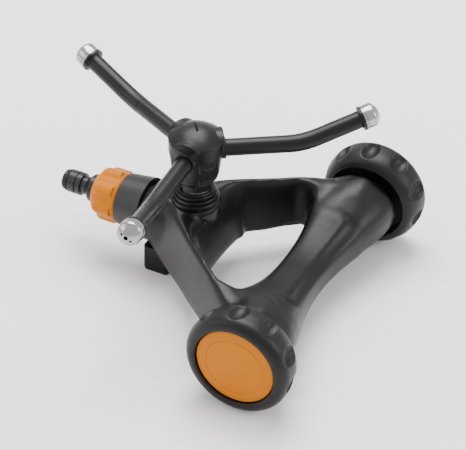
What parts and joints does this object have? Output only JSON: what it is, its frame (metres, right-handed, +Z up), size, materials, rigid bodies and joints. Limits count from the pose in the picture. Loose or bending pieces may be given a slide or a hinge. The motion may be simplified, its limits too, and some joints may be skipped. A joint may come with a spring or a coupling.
{
  "type": "rotary lawn sprinkler",
  "caption": "Wheeled lawn sprinkler: triangular moulded base, side hose inlet with union nut, and a free-spinning hub with bent spray arms ending in turnable nozzle caps.",
  "frame": {"origin": "on the ground, straight below the rotor's axis", "axes": "+Z up along the rotor's axis, +X from the rotor to the wheels, so the hose inlet points along -X, +Y towards the left wheel"},
  "size_m": [0.2383, 0.2359, 0.1288],
  "materials": {
    "black_shell": "satin moulded black plastic",
    "black_wheel": "satin moulded black plastic wheel",
    "orange_plastic": "satin orange moulded plastic",
    "grey_plastic": "near-black moulded plastic",
    "grey_connector": "very dark grey moulded plastic",
    "satin_metal": "satin metal, fine turned grain",
    "plain_metal": "plain turned steel",
    "rubber": "plain black rubber"
  },
  "bodies": {
    "base": {"base_shell": "black_shell", "base_cover": "grey_plastic", "cover_screws": "plain_metal", "front_foot": "black_shell", "foot_pad": "rubber", "inlet_body": "grey_plastic", "turret_ring": "black_shell", "spindle": "grey_plastic", "spindle_oring": "rubber", "thrust_washer": "plain_metal", "retaining_clip": "plain_metal", "stub_axle_left": "grey_plastic", "stub_axle_right": "grey_plastic", "axle_washers": "plain_metal", "axle_screws": "plain_metal", "hose_spigot": "grey_connector", "spigot_oring": "rubber", "hose_washer": "rubber"},
    "union_nut": {"union_nut": "orange_plastic"},
    "rotor": {"rotor_hub": "black_shell", "rotor_cap": "black_shell", "arm_a": "black_shell", "arm_b": "black_shell", "arm_c": "black_shell", "arm_orings": "rubber", "nozzle_seals": "rubber"},
    "nozzle_a": {"nozzle_cap_a": "satin_metal"},
    "nozzle_b": {"nozzle_cap_b": "satin_metal"},
    "nozzle_c": {"nozzle_cap_c": "satin_metal"},
    "wheel_left": {"wheel_left": "black_wheel", "wheel_bush_left": "grey_plastic", "wheel_cap_left": "orange_plastic"},
    "wheel_right": {"wheel_right": "black_wheel", "wheel_bush_right": "grey_plastic", "wheel_cap_right": "orange_plastic"}
  },
  "joints": [
    {"name": "rotor_spin", "type": "hinge", "parent": "base", "child": "rotor", "pos_m": [0, 0, 0.1058], "axis": [0, 0, 1], "continuous": true},
    {"name": "wheel_left_spin", "type": "hinge", "parent": "base", "child": "wheel_left", "pos_m": [0.087, 0.099, 0.0364], "axis": [0, 1, 0], "continuous": true},
    {"name": "wheel_right_spin", "type": "hinge", "parent": "base", "child": "wheel_right", "pos_m": [0.087, -0.099, 0.0364], "axis": [0, 1, 0], "continuous": true},
    {"name": "union_nut_turn", "type": "hinge", "parent": "base", "child": "union_nut", "pos_m": [-0.0648, 0, 0.046], "axis": [-1, 0, 0], "range_deg": [0, 180]},
    {"name": "nozzle_a_turn", "type": "hinge", "parent": "rotor", "child": "nozzle_a", "pos_m": [0.08865, 0.06836, 0.11894], "axis": [0.6952, 0.6507, 0.3055], "range_deg": [-60, 60]},
    {"name": "nozzle_b_turn", "type": "hinge", "parent": "rotor", "child": "nozzle_b", "pos_m": [-0.10353, 0.0426, 0.11894], "axis": [-0.9111, 0.2767, 0.3055], "range_deg": [-60, 60]},
    {"name": "nozzle_c_turn", "type": "hinge", "parent": "rotor", "child": "nozzle_c", "pos_m": [0.01488, -0.11096, 0.11894], "axis": [0.2159, -0.9274, 0.3055], "range_deg": [-60, 60]}
  ]
}
